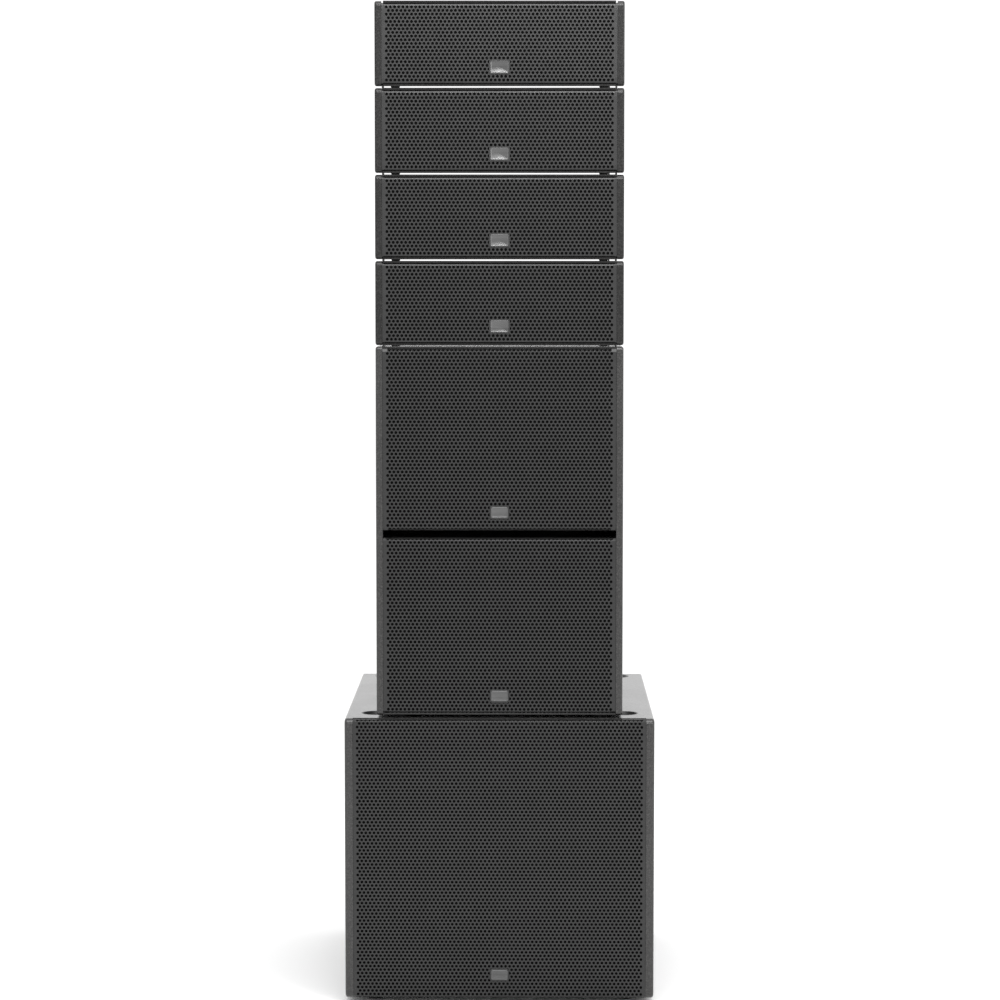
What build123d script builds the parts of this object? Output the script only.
"""Ground-stacked line array: subwoofer, bass column and four splayed line modules.

Millimetres, +Z up, fronts face -Y, origin on the floor at the middle of the stack.
"""
from build123d import *
from math import asin, atan2, cos, degrees, hypot, radians, sin, tan
import os

os.makedirs("parts", exist_ok=True)

# ---------------------------------------------------------------- driving sizes
# Stack, from the floor up
sub_foot_h = 10.0
sub_w, sub_h, sub_d = 602.0, 551.0, 640.0
bass_foot_h = 5.0
bass_w, bass_h, bass_d = 478.0, 716.0, 500.0
module_w, module_h, module_d = 478.0, 163.0, 280.0
module_gap = 2.0
module_count = 4
module_taper = 5.0                      # degrees, on the top and on the bottom
front_setback = 15.0                    # upper fronts behind the subwoofer's front

# Boards
sub_board = 16.0
sub_back_board = 18.0
bass_board = 13.0
bass_back_board = 18.0
module_board = 12.0
baffle_board = 18.0

# Grilles
grille_t = 1.5
grille_recess = 2.0                     # behind the side boards' front edges
grille_return = 10.0                    # depth of the rolled edges
grille_roll = 6.0                       # bend radius of the rolled edges
grille_side_gap = 0.3
sub_grille_inset = 1.5                  # grille set back at the subwoofer
sub_front_lip = 15.0                    # side boards stand in front of the top board
sub_grille_slit = 3.0                   # between the rolled edge and the top board

# Edges and hardware shared by the units
cup_edge_r = 6.0                        # inside corners of the hand holds
cut_clear = 0.5                         # round what sits in a cut-out
bolt_inside = 10.0                      # length of a module's bolt inside its box
bass_bolt_inside = 6.0

# Rigging
cheek_t = 13.0
cheek_corner = 9.0
link_zone = 3.5                         # room for the link plates beside a cheek
plate_t = 3.0
plate_gap = 0.25
rear_step = 8.0                         # extra room for the splay bars at the rear
rear_step_from = 125.0                  # how far behind the module's front it starts
pivot_up, pivot_back = 15.0, 29.0       # front pivot from a module's front bottom corner
lock_up, lock_back = 41.0, 245.0        # rear lock pin from the same corner
max_splay = 10.0                        # degrees that the arc slot allows
pin_r = 4.0
pin_clear = 0.05
screw_r = 3.0
screw_clear = 0.1
head_r, head_t = 5.5, 3.5
pin_head_r, pin_head_t = 8.0, 4.0
sink_clear = 0.5
counterbore = 5.5
link_half = 15.0
slot_clear = 0.5                        # beside a plate in the bass column's top
link_below = 40.0                       # plate below the top of the unit that holds it
link_screw_below = 34.0
link_stow = 38.0                        # how far the top module's links slide down
bar_half = 12.0
bar_screw_below = 46.0
bar_end = 10.0
bar_corner = 5.0
bar_slot_edge = 2.0                     # metal left beyond the arc slot, past bar_half

# ---------------------------------------------------------------- derived places
sub_front = -sub_d / 2
sub_rear = sub_d / 2
sub_z0 = sub_foot_h
sub_top = sub_z0 + sub_h
sub_zc = (sub_z0 + sub_top) / 2
stack_front = sub_front + front_setback
bass_z0 = sub_top + bass_foot_h
bass_top = bass_z0 + bass_h
bass_rear = stack_front + bass_d
cheek_in = module_w / 2 - cheek_t
box_half = cheek_in - link_zone
rear_half = box_half - rear_step
module_pitch = module_h + module_gap
module_rear = stack_front + module_d
pivot_y = stack_front + pivot_back
lock_y = stack_front + lock_back
bar_y = lock_y


def taper_drop(y, degrees_down=module_taper):
    """How far a tapered face has closed in at depth y."""
    return (y - stack_front) * tan(radians(degrees_down))


def x_range(low, high, side):
    """Plane and extrusion length for a piece between |x| = low and high on one side."""
    start = low if side > 0 else -high
    return Plane.YZ.offset(start), high - low


# ---------------------------------------------------------------- shared shapes
bore_share = 0.55                       # depth of the coil's bore in its magnet
cap_share = 0.4                         # height of a dust cap against its radius
rim_forward = 3.0                       # surround in front of the baffle


def speaker_frame(label, centres, flange_r, hole_r, flange_t, flange_y, throw, basket_d,
                  basket_r, magnet_r, magnet_d, bore_r, wall):
    """Chassis of a round driver: flange, straight rim, basket and magnet, open in front.

    The rim is straight for the length of the throw, so the surround moves clear of it.
    """
    throat_y = flange_y + throw
    back_y = flange_y + basket_d
    bore_end = back_y + magnet_d * bore_share
    with BuildPart() as frame:
        for x, z in centres:
            with BuildSketch(Plane(origin=(x, 0, z), x_dir=(1, 0, 0), z_dir=(0, 0, 1))):
                with BuildLine():
                    Polyline(
                        (flange_r, flange_y - flange_t),
                        (flange_r, flange_y),
                        (hole_r, flange_y),
                        (hole_r, throat_y),
                        (basket_r, back_y),
                        (magnet_r, back_y),
                        (magnet_r, back_y + magnet_d),
                        (0, back_y + magnet_d),
                        (0, bore_end),
                        (bore_r, bore_end),
                        (bore_r, back_y - wall),
                        (basket_r - wall, back_y - wall),
                        (hole_r - wall, throat_y),
                        (hole_r - wall, flange_y - flange_t),
                        close=True,
                    )
                make_face()
            revolve(axis=Axis((x, 0, z), (0, 1, 0)))
    frame.part.label = label
    export_step(frame.part, f"parts/{label}.step")


def speaker_cone(label, centres, rim_r, rim_y, roll_w, roll_h, neck_r, depth, former_d, wall):
    """Moving part of a round driver: half-roll surround, cone, dust cap and coil former."""
    neck_y = rim_y + depth
    roll_in = rim_r - roll_w
    cap_edge = neck_r + wall
    cap_h = cap_edge * cap_share
    cap_sphere = (cap_edge**2 + cap_h**2) / (2 * cap_h)
    cap_half_angle = asin(cap_edge / cap_sphere) / 2
    cap_mid = (
        cap_sphere * sin(cap_half_angle),
        neck_y - cap_h + cap_sphere * (1 - cos(cap_half_angle)),
    )
    with BuildPart() as cone:
        for x, z in centres:
            with BuildSketch(Plane(origin=(x, 0, z), x_dir=(1, 0, 0), z_dir=(0, 0, 1))):
                with BuildLine():
                    ThreePointArc((rim_r, rim_y), (rim_r - roll_w / 2, rim_y - roll_h), (roll_in, rim_y))
                    Line((roll_in, rim_y), (cap_edge, neck_y))
                    ThreePointArc((cap_edge, neck_y), cap_mid, (0, neck_y - cap_h))
                    Polyline(
                        (0, neck_y - cap_h),
                        (0, neck_y),
                        (neck_r - wall, neck_y + wall),
                        (neck_r - wall, neck_y + former_d),
                        (neck_r, neck_y + former_d),
                        (neck_r, neck_y + wall * 2),
                        (roll_in, rim_y + wall),
                        (rim_r, rim_y + wall),
                        (rim_r, rim_y),
                    )
                make_face()
            revolve(axis=Axis((x, 0, z), (0, 1, 0)))
    cone.part.label = label
    export_step(cone.part, f"parts/{label}.step")


def rolled_grille(label, half_w, face_y, return_d, z_low, z_high):
    """Steel grille sheet whose top and bottom edges roll back."""
    with BuildPart() as grille:
        with BuildSketch(Plane.YZ.offset(-half_w)):
            with BuildLine():
                FilletPolyline(
                    (face_y + return_d, z_high),
                    (face_y, z_high),
                    (face_y, z_low),
                    (face_y + return_d, z_low),
                    radius=grille_roll,
                )
                offset(amount=grille_t, side=Side.LEFT)
            make_face()
        extrude(amount=2 * half_w)
    grille.part.label = label
    export_step(grille.part, f"parts/{label}.step")


def bar_plane(x, screw_z, stowed):
    """Plane of a splay bar with its screw at the origin: +Y runs up, or forward if stowed."""
    return Plane(
        origin=(x, bar_y, screw_z),
        x_dir=(0, 0, 1) if stowed else (0, 1, 0),
        z_dir=(1, 0, 0),
    )


def bar_length():
    """From a splay bar's screw to the far edge beyond its slot."""
    return bar_screw_below + module_gap + lock_up + bar_half + bar_slot_edge


# ---------------------------------------------------------------- subwoofer
amp_w, amp_h, amp_zc = 400.0, 300.0, sub_zc
amp_ledge = 10.0                        # board left under the amplifier panel's edge
panel_t = 3.0
panel_y = sub_rear - 14.0               # inner face of the amplifier panel
panel_out = panel_y + panel_t
handle_w, handle_h, handle_flange_t = 160.0, 110.0, 3.0
handle_cup_w, handle_cup_h, handle_depth = 130.0, 80.0, 45.0
handle_wall, handle_clear, handle_corner = 3.0, 0.2, 12.0
handle_body = (handle_cup_w + 2 * handle_wall, handle_cup_h + 2 * handle_wall)
handle_cut = [size + 2 * cut_clear for size in handle_body]
sub_handle_y, sub_handle_z = 0.0, sub_zc + 60.0
bass_handle_y, bass_handle_z = 30.0, bass_z0 + 430.0
cup_r, cup_mouth_r, cup_floor_r, cup_flange_t, cup_seat = 27.5, 24.5, 19.5, 8.0, 3.0
cup_x, cup_front_y, cup_rear_y = sub_w / 2 - 57.0, sub_front + 80.0, sub_rear - 35.0
cup_places = [(x, y) for x in (-cup_x, cup_x) for y in (cup_front_y, cup_rear_y)]
sub_baffle_y = sub_front + 28.0
port_r, port_wall, port_d, port_edge = 42.0, 3.0, 160.0, 8.0
port_x, port_z = [size / 2 - sub_board - port_r - port_edge for size in (sub_w, sub_h)]
sub_grille_low, sub_grille_high = 1.0, 1.5  # short of the cabinet's underside and top
sub_driver_hole = 212.0
hole_clear = 1.0                        # baffle hole round a driver
sub_corner, sub_edge = 12.0, 5.0
amp_clear = 2.0
sub_inner_half = sub_w / 2 - sub_board

with BuildPart() as sub_cabinet:
    with BuildSketch(Plane.YZ.offset(-sub_w / 2)) as sub_side:
        with Locations(((sub_front + sub_rear) / 2, sub_zc)):
            Rectangle(sub_d, sub_h)
        fillet(sub_side.vertices().group_by(Axis.X)[0], radius=sub_corner)
    extrude(amount=sub_w)
    fillet(sub_cabinet.edges().filter_by(Axis.Z), radius=sub_edge)
    with BuildSketch(Plane.XY.offset(sub_z0 + sub_board)):
        with Locations((0, (sub_front + sub_rear - sub_back_board) / 2)):
            Rectangle(2 * sub_inner_half, sub_d - sub_back_board)
    extrude(amount=sub_h - 2 * sub_board, mode=Mode.SUBTRACT)
    with BuildSketch(Plane.XZ.offset(-sub_front)):
        with Locations((0, sub_zc)):
            Rectangle(2 * sub_inner_half, sub_h)
    extrude(amount=-sub_front_lip, mode=Mode.SUBTRACT)
    with BuildSketch(Plane.XZ.offset(-sub_rear)):
        with Locations((0, amp_zc)):
            Rectangle(amp_w + 2 * amp_clear, amp_h + 2 * amp_clear)
    extrude(amount=sub_rear - panel_y, mode=Mode.SUBTRACT)
    with BuildSketch(Plane.XZ.offset(-sub_rear)):
        with Locations((0, amp_zc)):
            Rectangle(amp_w - 2 * amp_ledge, amp_h - 2 * amp_ledge)
    extrude(amount=sub_back_board, mode=Mode.SUBTRACT)
    with Locations(*[Location((x, y, sub_top)) for x, y in cup_places]):
        Hole(radius=cup_r + screw_clear, depth=cup_flange_t)
    for side in (-1, 1):
        flange_plane, flange_len = x_range(sub_w / 2 - handle_flange_t, sub_w / 2, side)
        with BuildSketch(flange_plane):
            with Locations((sub_handle_y, sub_handle_z)):
                Rectangle(handle_w + 2 * handle_clear, handle_h + 2 * handle_clear)
        extrude(amount=flange_len, mode=Mode.SUBTRACT)
        board_plane, board_len = x_range(sub_inner_half, sub_w / 2, side)
        with BuildSketch(board_plane):
            with Locations((sub_handle_y, sub_handle_z)):
                Rectangle(*handle_cut)
        extrude(amount=board_len, mode=Mode.SUBTRACT)
sub_cabinet.part.label = "sub_cabinet"
export_step(sub_cabinet.part, "parts/sub_cabinet.step")

with BuildPart() as sub_baffle:
    with BuildSketch(Plane.XZ.offset(-sub_baffle_y)):
        with Locations((0, sub_zc)):
            Rectangle(2 * sub_inner_half, sub_h - 2 * sub_board)
            Circle(sub_driver_hole + hole_clear, mode=Mode.SUBTRACT)
            with GridLocations(2 * port_x, 2 * port_z, 2, 2):
                Circle(port_r, mode=Mode.SUBTRACT)
    extrude(amount=-baffle_board)
    with BuildSketch(Plane.XZ.offset(-sub_baffle_y - baffle_board)):
        with Locations((0, sub_zc)):
            with GridLocations(2 * port_x, 2 * port_z, 2, 2):
                Circle(port_r + port_wall)
                Circle(port_r, mode=Mode.SUBTRACT)
    extrude(amount=-port_d)
sub_baffle.part.label = "sub_baffle"
export_step(sub_baffle.part, "parts/sub_baffle.step")

rolled_grille(
    "sub_grille",
    sub_inner_half - grille_side_gap,
    sub_front + sub_grille_inset,
    sub_front_lip - sub_grille_inset - sub_grille_slit,
    sub_z0 + sub_grille_low,
    sub_top - sub_grille_high,
)
speaker_frame(
    "sub_driver", [(0, sub_zc)], flange_r=230, hole_r=sub_driver_hole, flange_t=6,
    flange_y=sub_baffle_y, throw=14, basket_d=125, basket_r=125, magnet_r=110, magnet_d=60,
    bore_r=53, wall=5,
)
speaker_cone(
    "sub_cone", [(0, sub_zc)], rim_r=205, rim_y=sub_baffle_y - rim_forward, roll_w=24, roll_h=6,
    neck_r=50, depth=95, former_d=42, wall=2,
)

# Amplifier in the back of the subwoofer
fin_count, fin_t, fin_pitch, fin_h = 15, 2.5, 12.0, 9.0
fin_x0, fin_span_z = -185.0, 250.0
knob_x, knob_z = 60.0, amp_zc + 100
knob_r, knob_h, knob_shaft_r = 10.0, 9.0, 3.0
knob_gap, knob_bevel, knob_shaft_in = 0.3, 1.0, 8.0
mark_w, mark_deep = 1.6, 1.2
switch_x, switch_z = 60.0, amp_zc - 105
switch_w, switch_half_z = 15.0, 9.5
switch_hole_w, switch_hole_h = 17.0, 23.0
switch_tilt, switch_sunk = 8.0, 2.0
switch_back, switch_ends, switch_ridge = -5.0, 4.0, 6.0
socket_x = 140.0
socket_zs = [amp_zc + 95, amp_zc + 45, amp_zc - 5]
socket_flange, socket_r, socket_bore = 13.5, 11.5, 9.0
socket_d, socket_bore_d = 22.0, 16.0
inlet_z, inlet_w, inlet_h = amp_zc - 95, 50.0, 28.0
inlet_mouth_w, inlet_mouth_h = 34.0, 16.0
inlet_body_w, inlet_body_h, inlet_clear = inlet_w - 8, inlet_h - 6, 0.2
socket_lip, socket_clear = 2.0, 0.2
amp_corner, inlet_corner = 6.0, 3.0

with BuildPart() as sub_amp_panel:
    with BuildSketch(Plane.XZ.offset(-panel_out)):
        with Locations((0, amp_zc)):
            RectangleRounded(amp_w, amp_h, amp_corner)
        with Locations((knob_x, knob_z)):
            Circle(knob_shaft_r + pin_clear, mode=Mode.SUBTRACT)
        with Locations((switch_x, switch_z)):
            Rectangle(switch_hole_w, switch_hole_h, mode=Mode.SUBTRACT)
        with Locations(*[(socket_x, z) for z in socket_zs]):
            Circle(socket_r + socket_clear, mode=Mode.SUBTRACT)
        with Locations((socket_x, inlet_z)):
            Rectangle(
                inlet_body_w + 2 * inlet_clear, inlet_body_h + 2 * inlet_clear,
                mode=Mode.SUBTRACT,
            )
    extrude(amount=panel_t)
    with BuildSketch(Plane.XZ.offset(-panel_out)):
        with Locations(*[(fin_x0 + i * fin_pitch, amp_zc) for i in range(fin_count)]):
            Rectangle(fin_t, fin_span_z)
    extrude(amount=-fin_h)
sub_amp_panel.part.label = "sub_amp_panel"
export_step(sub_amp_panel.part, "parts/sub_amp_panel.step")

chassis_w, chassis_h, chassis_d, chassis_t = 370.0, 270.0, 90.0, 2.0
with BuildPart() as sub_amp_chassis:
    with BuildSketch(Plane.XZ.offset(-panel_y)):
        with Locations((0, amp_zc)):
            Rectangle(chassis_w, chassis_h)
    extrude(amount=chassis_d)
    with BuildSketch(Plane.XZ.offset(-panel_y)):
        with Locations((0, amp_zc)):
            Rectangle(chassis_w - 2 * chassis_t, chassis_h - 2 * chassis_t)
    extrude(amount=chassis_d - chassis_t, mode=Mode.SUBTRACT)
sub_amp_chassis.part.label = "sub_amp_chassis"
export_step(sub_amp_chassis.part, "parts/sub_amp_chassis.step")

with BuildPart() as sub_sockets:
    with BuildSketch(Plane.XZ.offset(-panel_out - socket_lip)):
        with Locations(*[(socket_x, z) for z in socket_zs]):
            Circle(socket_flange)
    extrude(amount=socket_lip)
    with BuildSketch(Plane.XZ.offset(-panel_out)):
        with Locations(*[(socket_x, z) for z in socket_zs]):
            Circle(socket_r)
    extrude(amount=socket_d)
    with BuildSketch(Plane.XZ.offset(-panel_out - socket_lip)):
        with Locations(*[(socket_x, z) for z in socket_zs]):
            Circle(socket_bore)
    extrude(amount=socket_bore_d, mode=Mode.SUBTRACT)
    with BuildSketch(Plane.XZ.offset(-panel_out - socket_lip)):
        with Locations((socket_x, inlet_z)):
            RectangleRounded(inlet_w, inlet_h, inlet_corner)
    extrude(amount=socket_lip)
    with BuildSketch(Plane.XZ.offset(-panel_out)):
        with Locations((socket_x, inlet_z)):
            Rectangle(inlet_body_w, inlet_body_h)
    extrude(amount=socket_d)
    with BuildSketch(Plane.XZ.offset(-panel_out - socket_lip)):
        with Locations((socket_x, inlet_z)):
            Rectangle(inlet_mouth_w, inlet_mouth_h)
    extrude(amount=socket_bore_d, mode=Mode.SUBTRACT)
sub_sockets.part.label = "sub_sockets"
export_step(sub_sockets.part, "parts/sub_sockets.step")

with BuildPart() as sub_level_knob:
    with BuildSketch(Plane.XZ.offset(-panel_out - knob_gap)):
        with Locations((knob_x, knob_z)):
            Circle(knob_r)
    extrude(amount=-knob_h)
    chamfer(sub_level_knob.edges().group_by(Axis.Y)[-1], length=knob_bevel)
    with BuildSketch(Plane.XZ.offset(-panel_out - knob_gap - knob_h)):
        with Locations((knob_x, knob_z + knob_r * 0.6)):
            Rectangle(mark_w, knob_r * 0.9)
    extrude(amount=mark_deep, mode=Mode.SUBTRACT)
    with BuildSketch(Plane.XZ.offset(-panel_out - knob_gap)):
        with Locations((knob_x, knob_z)):
            Circle(knob_shaft_r)
    extrude(amount=panel_t + knob_shaft_in)
sub_level_knob.part.label = "sub_level_knob"
export_step(sub_level_knob.part, "parts/sub_level_knob.step")

switch_plane = Plane(
    origin=(switch_x - switch_w / 2, panel_out - switch_sunk, switch_z),
    x_dir=(0, 1, 0),
    z_dir=(1, 0, 0),
).rotated((0, 0, -switch_tilt))
with BuildPart() as sub_power_switch:
    with BuildSketch(switch_plane):
        with BuildLine():
            Polyline(
                (switch_back, -switch_half_z),
                (switch_ends, -switch_half_z),
                (switch_ridge, 0),
                (switch_ends, switch_half_z),
                (switch_back, switch_half_z),
                close=True,
            )
        make_face()
    extrude(amount=switch_w)
sub_power_switch.part.label = "sub_power_switch"
export_step(sub_power_switch.part, "parts/sub_power_switch.step")

# Hand holds in the sides of the subwoofer and of the bass column
grip_h, grip_t, grip_up, grip_in = 14.0, 18.0, 22.0, 3.0
grip_w, grip_flat = handle_cup_w + 2.0, grip_h - 2.0
with BuildPart() as handles:
    for outer_x, hy, hz in (
        (sub_w / 2, sub_handle_y, sub_handle_z),
        (bass_w / 2, bass_handle_y, bass_handle_z),
    ):
        for side in (-1, 1):
            flange_plane, flange_len = x_range(outer_x - handle_flange_t, outer_x, side)
            with BuildSketch(flange_plane):
                with Locations((hy, hz)):
                    RectangleRounded(handle_w, handle_h, handle_corner)
            extrude(amount=flange_len)
            body_plane, body_len = x_range(outer_x - handle_depth, outer_x - handle_flange_t, side)
            with BuildSketch(body_plane):
                with Locations((hy, hz)):
                    RectangleRounded(*handle_body, cup_edge_r + handle_wall)
            extrude(amount=body_len)
            hollow_plane, hollow_len = x_range(outer_x - handle_depth + handle_wall, outer_x, side)
            with BuildSketch(hollow_plane):
                with Locations((hy, hz)):
                    RectangleRounded(handle_cup_w, handle_cup_h, cup_edge_r)
            extrude(amount=hollow_len, mode=Mode.SUBTRACT)
            grip_plane, grip_len = x_range(outer_x - grip_in - grip_t, outer_x - grip_in, side)
            with BuildSketch(grip_plane):
                with Locations((hy, hz + grip_up)):
                    SlotOverall(grip_w, grip_h)
                    Rectangle(grip_w, grip_flat)
            extrude(amount=grip_len)
handles.part.label = "handles"
export_step(handles.part, "parts/handles.step")

sub_foot_in_x, sub_foot_in_y, sub_foot_r = 55.0, 60.0, 20.0
with BuildPart() as sub_feet:
    with GridLocations(sub_w - 2 * sub_foot_in_x, sub_d - 2 * sub_foot_in_y, 2, 2):
        Cone(
            bottom_radius=sub_foot_r, top_radius=sub_foot_r + 4, height=sub_foot_h,
            align=(Align.CENTER, Align.CENTER, Align.MIN),
        )
sub_feet.part.label = "sub_feet"
export_step(sub_feet.part, "parts/sub_feet.step")

with BuildPart() as stacking_cups:
    with Locations(*[Location((x, y, sub_top)) for x, y in cup_places]):
        Cylinder(cup_r, cup_flange_t, align=(Align.CENTER, Align.CENTER, Align.MAX))
        Cone(
            bottom_radius=cup_floor_r, top_radius=cup_mouth_r, height=cup_flange_t - cup_seat,
            align=(Align.CENTER, Align.CENTER, Align.MAX), mode=Mode.SUBTRACT,
        )
stacking_cups.part.label = "stacking_cups"
export_step(stacking_cups.part, "parts/stacking_cups.step")

# ---------------------------------------------------------------- bass column
bass_inner_half = bass_w / 2 - bass_board
slot_zc, slot_h = bass_z0 + 353.0, 15.0
shelf_t, shelf_front, shelf_d = 9.0, stack_front + 13.0, 230.0
bass_baffle_y = stack_front + 25.0
bass_corner, bass_edge = 6.0, 4.0
pocket_gap = 1.0                        # behind a grille's rolled edges
bass_driver_hole = 140.0
bass_low_z = (bass_z0 + bass_board + slot_zc - slot_h / 2 - shelf_t) / 2
bass_high_z = (bass_top - bass_board + slot_zc + slot_h / 2 + shelf_t) / 2
plate_w, plate_h = 180.0, 120.0
rear_plate_z, rear_plate_y = bass_z0 + 150.0, bass_rear - 10.0
rear_plate_ledge, rear_plate_corner = 10.0, 5.0
link_x = (box_half + plate_gap, box_half + plate_gap + plate_t)
bar_x = (rear_half + plate_gap, rear_half + plate_gap + plate_t)
link_slot_half, bar_slot_half = link_half + slot_clear, bar_half + slot_clear
nut_room = 8.0                          # space inside the plates for the bolts' ends

with BuildPart() as bass_cabinet:
    with BuildSketch(Plane.YZ.offset(-bass_w / 2)) as bass_side:
        with Locations(((stack_front + bass_rear) / 2, (bass_z0 + bass_top) / 2)):
            Rectangle(bass_d, bass_h)
        fillet(bass_side.vertices().group_by(Axis.X)[0], radius=bass_corner)
    extrude(amount=bass_w)
    fillet(bass_cabinet.edges().filter_by(Axis.Z), radius=bass_edge)
    with BuildSketch(Plane.XY.offset(bass_z0 + bass_board)):
        with Locations((0, (stack_front + bass_rear - bass_back_board) / 2)):
            Rectangle(2 * bass_inner_half, bass_d - bass_back_board)
    extrude(amount=bass_h - 2 * bass_board, mode=Mode.SUBTRACT)
    with BuildSketch(Plane.XZ.offset(-stack_front)):
        with Locations((0, (bass_z0 + bass_top) / 2)):
            Rectangle(2 * bass_inner_half, bass_h)
    extrude(amount=-(grille_recess + grille_return + pocket_gap), mode=Mode.SUBTRACT)
    for z in (slot_zc - slot_h / 2 - shelf_t, slot_zc + slot_h / 2):
        with BuildSketch(Plane.XY.offset(z)):
            with Locations((0, shelf_front + shelf_d / 2)):
                Rectangle(2 * bass_inner_half, shelf_d)
        extrude(amount=shelf_t)
    for side in (-1, 1):
        for (low, high), y, half in (
            (link_x, pivot_y, link_slot_half),
            (bar_x, bar_y, bar_slot_half),
        ):
            slot_plane, slot_len = x_range(low - plate_gap, high + plate_gap, side)
            with BuildSketch(slot_plane):
                with Locations((y, bass_top)):
                    Rectangle(2 * half, 3 * bass_board)
            extrude(amount=slot_len, mode=Mode.SUBTRACT)
        for y, down in ((pivot_y, link_screw_below), (bar_y, bar_screw_below)):
            bore_plane, bore_len = x_range(bass_inner_half, bass_w / 2, side)
            with BuildSketch(bore_plane):
                with Locations((y, bass_top - down)):
                    Circle(screw_r + screw_clear)
            extrude(amount=bore_len, mode=Mode.SUBTRACT)
            head_plane, head_len = x_range(bass_w / 2 - counterbore, bass_w / 2, side)
            with BuildSketch(head_plane):
                with Locations((y, bass_top - down)):
                    Circle(head_r + sink_clear)
            extrude(amount=head_len, mode=Mode.SUBTRACT)
        flange_plane, flange_len = x_range(bass_w / 2 - handle_flange_t, bass_w / 2, side)
        with BuildSketch(flange_plane):
            with Locations((bass_handle_y, bass_handle_z)):
                Rectangle(handle_w + 2 * handle_clear, handle_h + 2 * handle_clear)
        extrude(amount=flange_len, mode=Mode.SUBTRACT)
        board_plane, board_len = x_range(bass_inner_half, bass_w / 2, side)
        with BuildSketch(board_plane):
            with Locations((bass_handle_y, bass_handle_z)):
                Rectangle(*handle_cut)
        extrude(amount=board_len, mode=Mode.SUBTRACT)
    with BuildSketch(Plane.XZ.offset(-bass_rear)):
        with Locations((0, rear_plate_z)):
            Rectangle(plate_w + 2 * cut_clear, plate_h + 2 * cut_clear)
    extrude(amount=bass_rear - rear_plate_y, mode=Mode.SUBTRACT)
    with BuildSketch(Plane.XZ.offset(-bass_rear)):
        with Locations((0, rear_plate_z)):
            Rectangle(plate_w - 2 * rear_plate_ledge, plate_h - 2 * rear_plate_ledge)
    extrude(amount=bass_back_board, mode=Mode.SUBTRACT)
bass_cabinet.part.label = "bass_cabinet"
export_step(bass_cabinet.part, "parts/bass_cabinet.step")

notch_w, notch_h, notch_below = bass_inner_half - link_x[0] + nut_room, 44.0, 20.0
notch_x, notch_z = bass_inner_half - notch_w / 2, bass_top - bass_board - notch_below
with BuildPart() as bass_baffle:
    for low, high, driver_z in (
        (bass_z0 + bass_board, slot_zc - slot_h / 2 - shelf_t, bass_low_z),
        (slot_zc + slot_h / 2 + shelf_t, bass_top - bass_board, bass_high_z),
    ):
        with BuildSketch(Plane.XZ.offset(-bass_baffle_y)):
            with Locations((0, (low + high) / 2)):
                Rectangle(2 * bass_inner_half, high - low)
            with Locations((0, driver_z)):
                Circle(bass_driver_hole + hole_clear, mode=Mode.SUBTRACT)
            with Locations((-notch_x, notch_z), (notch_x, notch_z)):
                Rectangle(notch_w, notch_h, mode=Mode.SUBTRACT)
        extrude(amount=-baffle_board)
bass_baffle.part.label = "bass_baffle"
export_step(bass_baffle.part, "parts/bass_baffle.step")

bass_grille_y = stack_front + grille_recess
bass_grille_half = bass_inner_half - grille_side_gap
bass_grille_low, bass_grille_high = 3.5, 3.5  # short of the cabinet's underside and top
rolled_grille(
    "bass_grille_upper", bass_grille_half, bass_grille_y, grille_return,
    slot_zc + slot_h / 2, bass_top - bass_grille_high,
)
rolled_grille(
    "bass_grille_lower", bass_grille_half, bass_grille_y, grille_return,
    bass_z0 + bass_grille_low, slot_zc - slot_h / 2,
)
speaker_frame(
    "bass_drivers", [(0, bass_low_z), (0, bass_high_z)], flange_r=151,
    hole_r=bass_driver_hole, flange_t=5, flange_y=bass_baffle_y, throw=10, basket_d=85,
    basket_r=85, magnet_r=78, magnet_d=45, bore_r=35, wall=4,
)
for label, driver_z in (("bass_cone_lower", bass_low_z), ("bass_cone_upper", bass_high_z)):
    speaker_cone(
        label, [(0, driver_z)], rim_r=134, rim_y=bass_baffle_y - rim_forward, roll_w=16, roll_h=5,
        neck_r=32, depth=62, former_d=30, wall=1.5,
    )

bass_socket_x, bass_socket_wall = 35.0, 3.5
with BuildPart() as bass_rear_panel:
    with BuildSketch(Plane.XZ.offset(-rear_plate_y - panel_t)):
        with Locations((0, rear_plate_z)):
            RectangleRounded(plate_w, plate_h, rear_plate_corner)
    extrude(amount=panel_t)
    with BuildSketch(Plane.XZ.offset(-rear_plate_y)):
        with Locations(*[(s * bass_socket_x, rear_plate_z) for s in (-1, 1)]):
            Circle(socket_r + bass_socket_wall)
    extrude(amount=socket_d)
    with BuildSketch(Plane.XZ.offset(-rear_plate_y - panel_t)):
        with Locations(*[(s * bass_socket_x, rear_plate_z) for s in (-1, 1)]):
            Circle(socket_r)
    extrude(amount=socket_d, mode=Mode.SUBTRACT)
bass_rear_panel.part.label = "bass_rear_panel"
export_step(bass_rear_panel.part, "parts/bass_rear_panel.step")

bass_foot_in_x, bass_foot_in_y, bass_foot_r, bass_foot_taper = 45.0, 40.0, 14.0, 15.0
with BuildPart() as bass_feet:
    with BuildSketch(Plane.XY.offset(sub_top)):
        with Locations((0, (stack_front + bass_rear) / 2)):
            with GridLocations(bass_w - 2 * bass_foot_in_x, bass_d - 2 * bass_foot_in_y, 2, 2):
                Circle(bass_foot_r)
    extrude(amount=bass_foot_h, taper=-bass_foot_taper)
bass_feet.part.label = "bass_feet"
export_step(bass_feet.part, "parts/bass_feet.step")


# ---------------------------------------------------------------- rigging plates
lock_dy, lock_dz = lock_y - pivot_y, lock_up - pivot_up
lock_radius = hypot(lock_dy, lock_dz)
lock_angle = degrees(atan2(lock_dz, lock_dy))
pivot_above = module_gap + pivot_up     # front pivot above the top of the unit below


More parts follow.
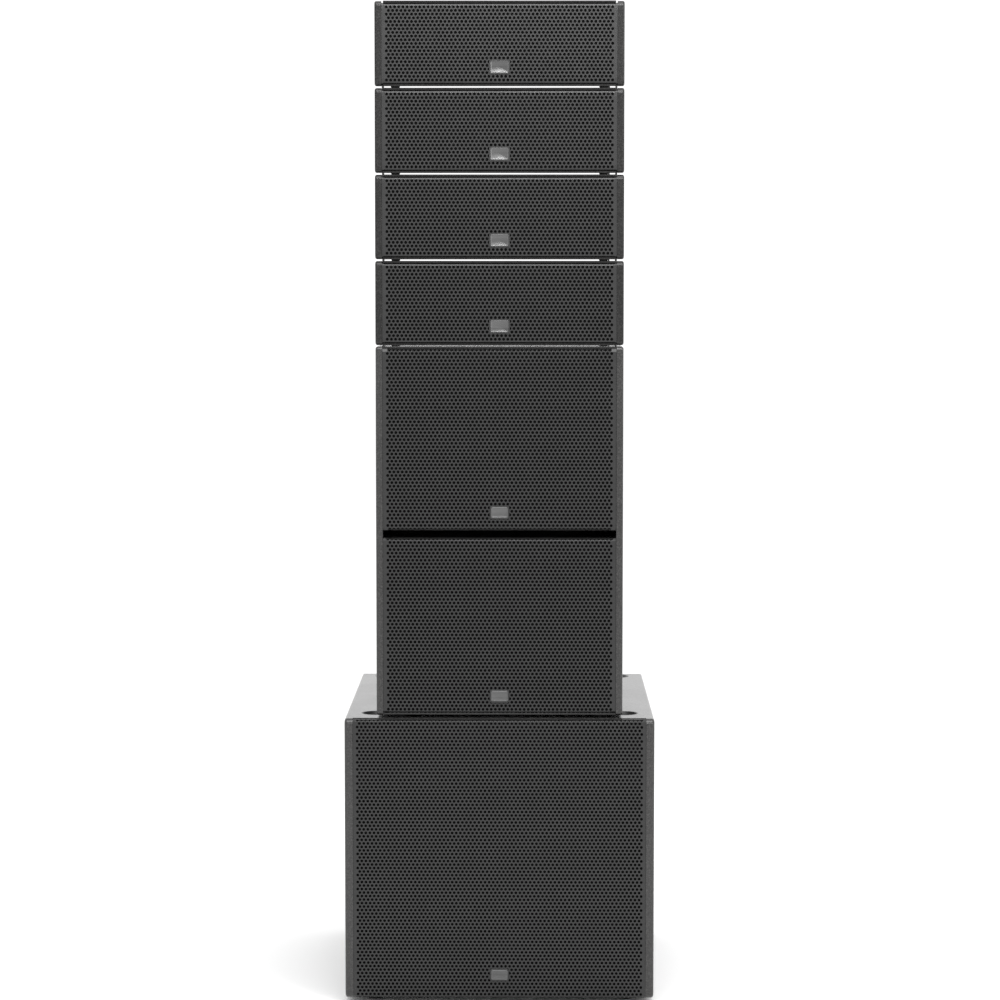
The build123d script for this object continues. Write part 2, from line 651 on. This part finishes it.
def link_sketch():
    """Front link plate in its own plane: +Y up, origin at the eye of the pivot pin."""
    low = -(pivot_above + link_below)
    with BuildSketch() as outline:
        with Locations((0, low / 2)):
            Rectangle(2 * link_half, -low)
        Circle(link_half)
        Circle(pin_r + pin_clear, mode=Mode.SUBTRACT)
        with Locations((0, -(pivot_above + link_screw_below) + link_stow / 2)):
            SlotCenterToCenter(
                link_stow, 2 * (screw_r + screw_clear), rotation=90, mode=Mode.SUBTRACT,
            )
    return outline.sketch


def bar_sketch():
    """Rear splay bar: +Y up, origin at its screw, with an arc slot about the front pivot."""
    with BuildSketch() as outline:
        with Locations((0, (bar_length() - bar_end) / 2)):
            Rectangle(2 * bar_half, bar_length() + bar_end)
        fillet(outline.vertices(), radius=bar_corner)
        Circle(screw_r + pin_clear, mode=Mode.SUBTRACT)
        with BuildLine() as travel:
            CenterArc(
                (-lock_dy, bar_screw_below + pivot_above), lock_radius,
                lock_angle - max_splay, max_splay,
            )
        SlotArc(travel.edges()[0], 2 * (pin_r + pin_clear), mode=Mode.SUBTRACT)
    return outline.sketch


link_shape = link_sketch()
bar_shape = bar_sketch()

with BuildPart() as bass_links:
    for side in (-1, 1):
        link_start = link_x[0] if side > 0 else -link_x[1]
        with BuildSketch(Plane.YZ.offset(link_start)):
            with Locations((pivot_y, bass_top + pivot_above)):
                add(link_shape)
        bar_start = bar_x[0] if side > 0 else -bar_x[1]
        with BuildSketch(bar_plane(bar_start, bass_top - bar_screw_below, stowed=False)):
            add(bar_shape)
        extrude(amount=plate_t)
        for y, down, inner in (
            (pivot_y, link_screw_below, link_x[0]),
            (bar_y, bar_screw_below, bar_x[0]),
        ):
            shank_plane, shank_len = x_range(
                inner - bass_bolt_inside, bass_w / 2 - counterbore, side,
            )
            with BuildSketch(shank_plane):
                with Locations((y, bass_top - down)):
                    Circle(screw_r)
            extrude(amount=shank_len)
            head_plane, head_len = x_range(
                bass_w / 2 - counterbore, bass_w / 2 - counterbore + head_t, side,
            )
            with BuildSketch(head_plane):
                with Locations((y, bass_top - down)):
                    Circle(head_r)
            extrude(amount=head_len)
bass_links.part.label = "bass_links"
export_step(bass_links.part, "parts/bass_links.step")

# ---------------------------------------------------------------- line modules
box_inside = 0.2                        # cabinet top and bottom inside the cheeks' edges
lip_t = 4.0                             # front edges above and below the grille
lip_front = stack_front + grille_recess
box_front = lip_front + grille_return + pocket_gap
grille_slit = 0.3                       # between a lip and the grille
box_cavity_half = rear_half - module_board
front_cavity_half = box_half - module_board
module_baffle_y = stack_front + 21.0
module_baffle_t = 12.0
woofer_x, woofer_hole, woofer_clear = 125.0, 54.0, 0.5
horn_w, horn_h, horn_flange_w, horn_flange_h = 84.0, 108.0, 108.0, 124.0
horn_throat_w, horn_throat_h, horn_back_y = 20.0, 96.0, stack_front + 73.0
horn_wall, horn_corner, horn_flange_t = 3.0, 6.0, 4.0
horn_driver_r, horn_driver_d, horn_cap_r, horn_cap_d = 46.0, 8.0, 38.0, 34.0
dish_w, dish_h, dish_d, dish_corner = 150.0, 66.0, 8.0, 6.0
cheek_rear_corner, cheek_edge = 14.0, 3.5
boss_r, boss_y = 9.0, stack_front + 100.0
boss_ups = (45.0, 115.0)
bumper_x, bumper_y = 200.0, stack_front + 22.0
bumper_top_r, bumper_low_r, bumper_clear = 9.0, 7.5, 0.5

for number in range(module_count, 0, -1):
    name = f"module_{number}"
    z0 = bass_top + module_gap + (module_count - number) * module_pitch
    top = z0 + module_h
    zc = (z0 + top) / 2
    is_top = number == 1
    pin_places = [(pivot_y, z0 + pivot_up), (lock_y, z0 + lock_up)]
    screw_places = [
        (pivot_y, top - link_screw_below),
        (bar_y, top - bar_screw_below),
        *[(boss_y, z0 + up) for up in boss_ups],
    ]

    with BuildPart() as cabinet:
        with BuildSketch(Plane.YZ):
            with BuildLine():
                Polyline(
                    (lip_front, z0 + box_inside + taper_drop(lip_front)),
                    (lip_front, top - box_inside - taper_drop(lip_front)),
                    (module_rear, top - box_inside - taper_drop(module_rear)),
                    (module_rear, z0 + box_inside + taper_drop(module_rear)),
                    close=True,
                )
            make_face()
        extrude(amount=box_half, both=True)
        with BuildSketch(Plane.XZ.offset(-lip_front)):
            with Locations((0, zc)):
                Rectangle(module_w, top - z0 - 2 * (box_inside + lip_t))
        extrude(amount=lip_front - box_front, mode=Mode.SUBTRACT)
        chamber_back = module_rear - module_board
        chamber_front = module_baffle_y + module_baffle_t
        inset = box_inside + module_board
        for y_from, y_to, half in (
            (box_front, module_baffle_y, front_cavity_half),
            (chamber_front, chamber_back, box_cavity_half),
        ):
            with BuildSketch(Plane.YZ):
                with BuildLine():
                    Polyline(
                        (y_from, z0 + inset + taper_drop(y_from)),
                        (y_from, top - inset - taper_drop(y_from)),
                        (y_to, top - inset - taper_drop(y_to)),
                        (y_to, z0 + inset + taper_drop(y_to)),
                        close=True,
                    )
                make_face()
            extrude(amount=half, both=True, mode=Mode.SUBTRACT)
        for side in (-1, 1):
            step_plane, step_len = x_range(rear_half, box_half, side)
            with BuildSketch(step_plane):
                with Locations(((stack_front + rear_step_from + module_rear) / 2, zc)):
                    Rectangle(module_d - rear_step_from, module_h)
            extrude(amount=step_len, mode=Mode.SUBTRACT)
            for (y, z), shank in (
                *[(place, pin_r) for place in pin_places],
                *[(place, screw_r) for place in screw_places],
            ):
                outer = rear_half if y > stack_front + rear_step_from else box_half
                bore_plane, bore_len = x_range(outer - bolt_inside, outer, side)
                with BuildSketch(bore_plane):
                    with Locations((y, z)):
                        Circle(shank + screw_clear)
                extrude(amount=bore_len, mode=Mode.SUBTRACT)
        with BuildSketch(Plane.XZ.offset(-module_baffle_y)):
            with Locations(*[(s * woofer_x, zc) for s in (-1, 1)]):
                Circle(woofer_hole + woofer_clear)
            with Locations((0, zc)):
                Rectangle(horn_w + 2 * cut_clear, horn_h + 2 * cut_clear)
        extrude(amount=-module_baffle_t, mode=Mode.SUBTRACT)
        with BuildSketch(Plane.XZ.offset(-module_rear)):
            with Locations((0, zc)):
                RectangleRounded(dish_w, dish_h, dish_corner)
        extrude(amount=dish_d, mode=Mode.SUBTRACT)
    cabinet.part.label = f"{name}_cabinet"
    export_step(cabinet.part, f"parts/{name}_cabinet.step")

    with BuildPart() as cheeks:
        for side in (-1, 1):
            cheek_plane, cheek_len = x_range(cheek_in, module_w / 2, side)
            with BuildSketch(cheek_plane) as outline:
                with BuildLine():
                    Polyline(
                        (stack_front, z0),
                        (stack_front, top),
                        (module_rear, top - taper_drop(module_rear)),
                        (module_rear, z0 + taper_drop(module_rear)),
                        close=True,
                    )
                make_face()
                fillet(outline.vertices().group_by(Axis.X)[0], radius=cheek_corner)
                fillet(outline.vertices().group_by(Axis.X)[-1], radius=cheek_rear_corner)
            extrude(amount=cheek_len)
            boss_plane, boss_len = x_range(box_half, cheek_in, side)
            with BuildSketch(boss_plane):
                with Locations(*[(boss_y, z0 + up) for up in boss_ups]):
                    Circle(boss_r)
            extrude(amount=boss_len)
        outer_faces = cheeks.faces().filter_by(Axis.X).group_by(Axis.X)
        fillet(outer_faces[0].edges() + outer_faces[-1].edges(), radius=cheek_edge)
        for side in (-1, 1):
            for places, shank, head in (
                (pin_places, pin_r, pin_head_r),
                (screw_places, screw_r, head_r),
            ):
                bore_plane, bore_len = x_range(box_half, module_w / 2, side)
                with BuildSketch(bore_plane):
                    with Locations(*places):
                        Circle(shank + screw_clear)
                extrude(amount=bore_len, mode=Mode.SUBTRACT)
                sink_plane, sink_len = x_range(module_w / 2 - counterbore, module_w / 2, side)
                with BuildSketch(sink_plane):
                    with Locations(*places):
                        Circle(head + sink_clear)
                extrude(amount=sink_len, mode=Mode.SUBTRACT)
    cheeks.part.label = f"{name}_cheeks"
    export_step(cheeks.part, f"parts/{name}_cheeks.step")

    rolled_grille(
        f"{name}_grille", cheek_in - grille_side_gap, stack_front + grille_recess,
        grille_return, z0 + box_inside + lip_t + grille_slit, top - box_inside - lip_t - grille_slit,
    )

    centres = [(s * woofer_x, zc) for s in (-1, 1)]
    speaker_frame(
        f"{name}_woofers", centres, flange_r=62, hole_r=woofer_hole, flange_t=4,
        flange_y=module_baffle_y, throw=6, basket_d=36, basket_r=40, magnet_r=38,
        magnet_d=26, bore_r=15, wall=3,
    )
    speaker_cone(
        f"{name}_cones", centres, rim_r=50, rim_y=module_baffle_y - rim_forward, roll_w=7,
        roll_h=3, neck_r=13, depth=26, former_d=14, wall=1,
    )

    with BuildPart() as horn:
        with BuildSketch(Plane.XZ.offset(-module_baffle_y)):
            with Locations((0, zc)):
                RectangleRounded(horn_flange_w, horn_flange_h, horn_corner)
        extrude(amount=horn_flange_t)
        with BuildSketch(Plane.XZ.offset(-module_baffle_y)):
            with Locations((0, zc)):
                Rectangle(horn_w, horn_h)
        with BuildSketch(Plane.XZ.offset(-horn_back_y)):
            with Locations((0, zc)):
                Rectangle(horn_throat_w, horn_throat_h)
        loft()
        with BuildSketch(Plane.XZ.offset(-module_baffle_y + horn_flange_t)):
            with Locations((0, zc)):
                Rectangle(horn_w - horn_wall, horn_h - horn_wall)
        with BuildSketch(Plane.XZ.offset(-horn_back_y)):
            with Locations((0, zc)):
                Rectangle(horn_throat_w - 2 * horn_wall, horn_throat_h - 2 * horn_wall)
        loft(mode=Mode.SUBTRACT)
        with BuildSketch(Plane.XZ.offset(-horn_back_y)):
            with Locations((0, zc)):
                Circle(horn_driver_r)
        extrude(amount=-horn_driver_d)
        with BuildSketch(Plane.XZ.offset(-horn_back_y - horn_driver_d)):
            with Locations((0, zc)):
                Circle(horn_cap_r)
        extrude(amount=-horn_cap_d)
    horn.part.label = f"{name}_horn"
    export_step(horn.part, f"parts/{name}_horn.step")

    eye_z = top + pivot_above - (link_stow if is_top else 0.0)
    with BuildPart() as links:
        for side in (-1, 1):
            link_start = link_x[0] if side > 0 else -link_x[1]
            with BuildSketch(Plane.YZ.offset(link_start)):
                with Locations((pivot_y, eye_z)):
                    add(link_shape)
            extrude(amount=plate_t)
            if not is_top:
                bar_start = bar_x[0] if side > 0 else -bar_x[1]
                with BuildSketch(bar_plane(bar_start, top - bar_screw_below, stowed=False)):
                    add(bar_shape)
                extrude(amount=plate_t)
    links.part.label = f"{name}_links"
    export_step(links.part, f"parts/{name}_links.step")

    if is_top:
        with BuildPart() as bars:
            for side in (-1, 1):
                bar_start = bar_x[0] if side > 0 else -bar_x[1]
                with BuildSketch(bar_plane(bar_start, top - bar_screw_below, stowed=True)):
                    add(bar_shape)
                extrude(amount=plate_t)
        bars.part.label = f"{name}_bars"
        export_step(bars.part, f"parts/{name}_bars.step")

    with BuildPart() as bolts:
        for side in (-1, 1):
            for places, shank, head, head_len in (
                (pin_places, pin_r, pin_head_r, pin_head_t),
                (screw_places, screw_r, head_r, head_t),
            ):
                for y, z in places:
                    at_rear = y > stack_front + rear_step_from
                    outer = rear_half if at_rear else box_half
                    shank_plane, shank_len = x_range(
                        outer - bolt_inside, module_w / 2 - counterbore, side,
                    )
                    with BuildSketch(shank_plane):
                        with Locations((y, z)):
                            Circle(shank)
                    extrude(amount=shank_len)
                    head_plane, cap_len = x_range(
                        module_w / 2 - counterbore, module_w / 2 - counterbore + head_len, side,
                    )
                    with BuildSketch(head_plane):
                        with Locations((y, z)):
                            Circle(head)
                    extrude(amount=cap_len)
    bolts.part.label = f"{name}_bolts"
    export_step(bolts.part, f"parts/{name}_bolts.step")

    taper_there = box_inside + taper_drop(bumper_y - bumper_top_r)
    foot_top = z0 + taper_there
    below = z0 - module_gap - (0.0 if number == module_count else taper_there)
    with BuildPart() as bumpers:
        with Locations(*[(s * bumper_x, bumper_y, below + bumper_clear) for s in (-1, 1)]):
            Cone(
                bottom_radius=bumper_low_r, top_radius=bumper_top_r,
                height=foot_top - below - bumper_clear,
                align=(Align.CENTER, Align.CENTER, Align.MIN),
            )
    bumpers.part.label = f"{name}_bumpers"
    export_step(bumpers.part, f"parts/{name}_bumpers.step")
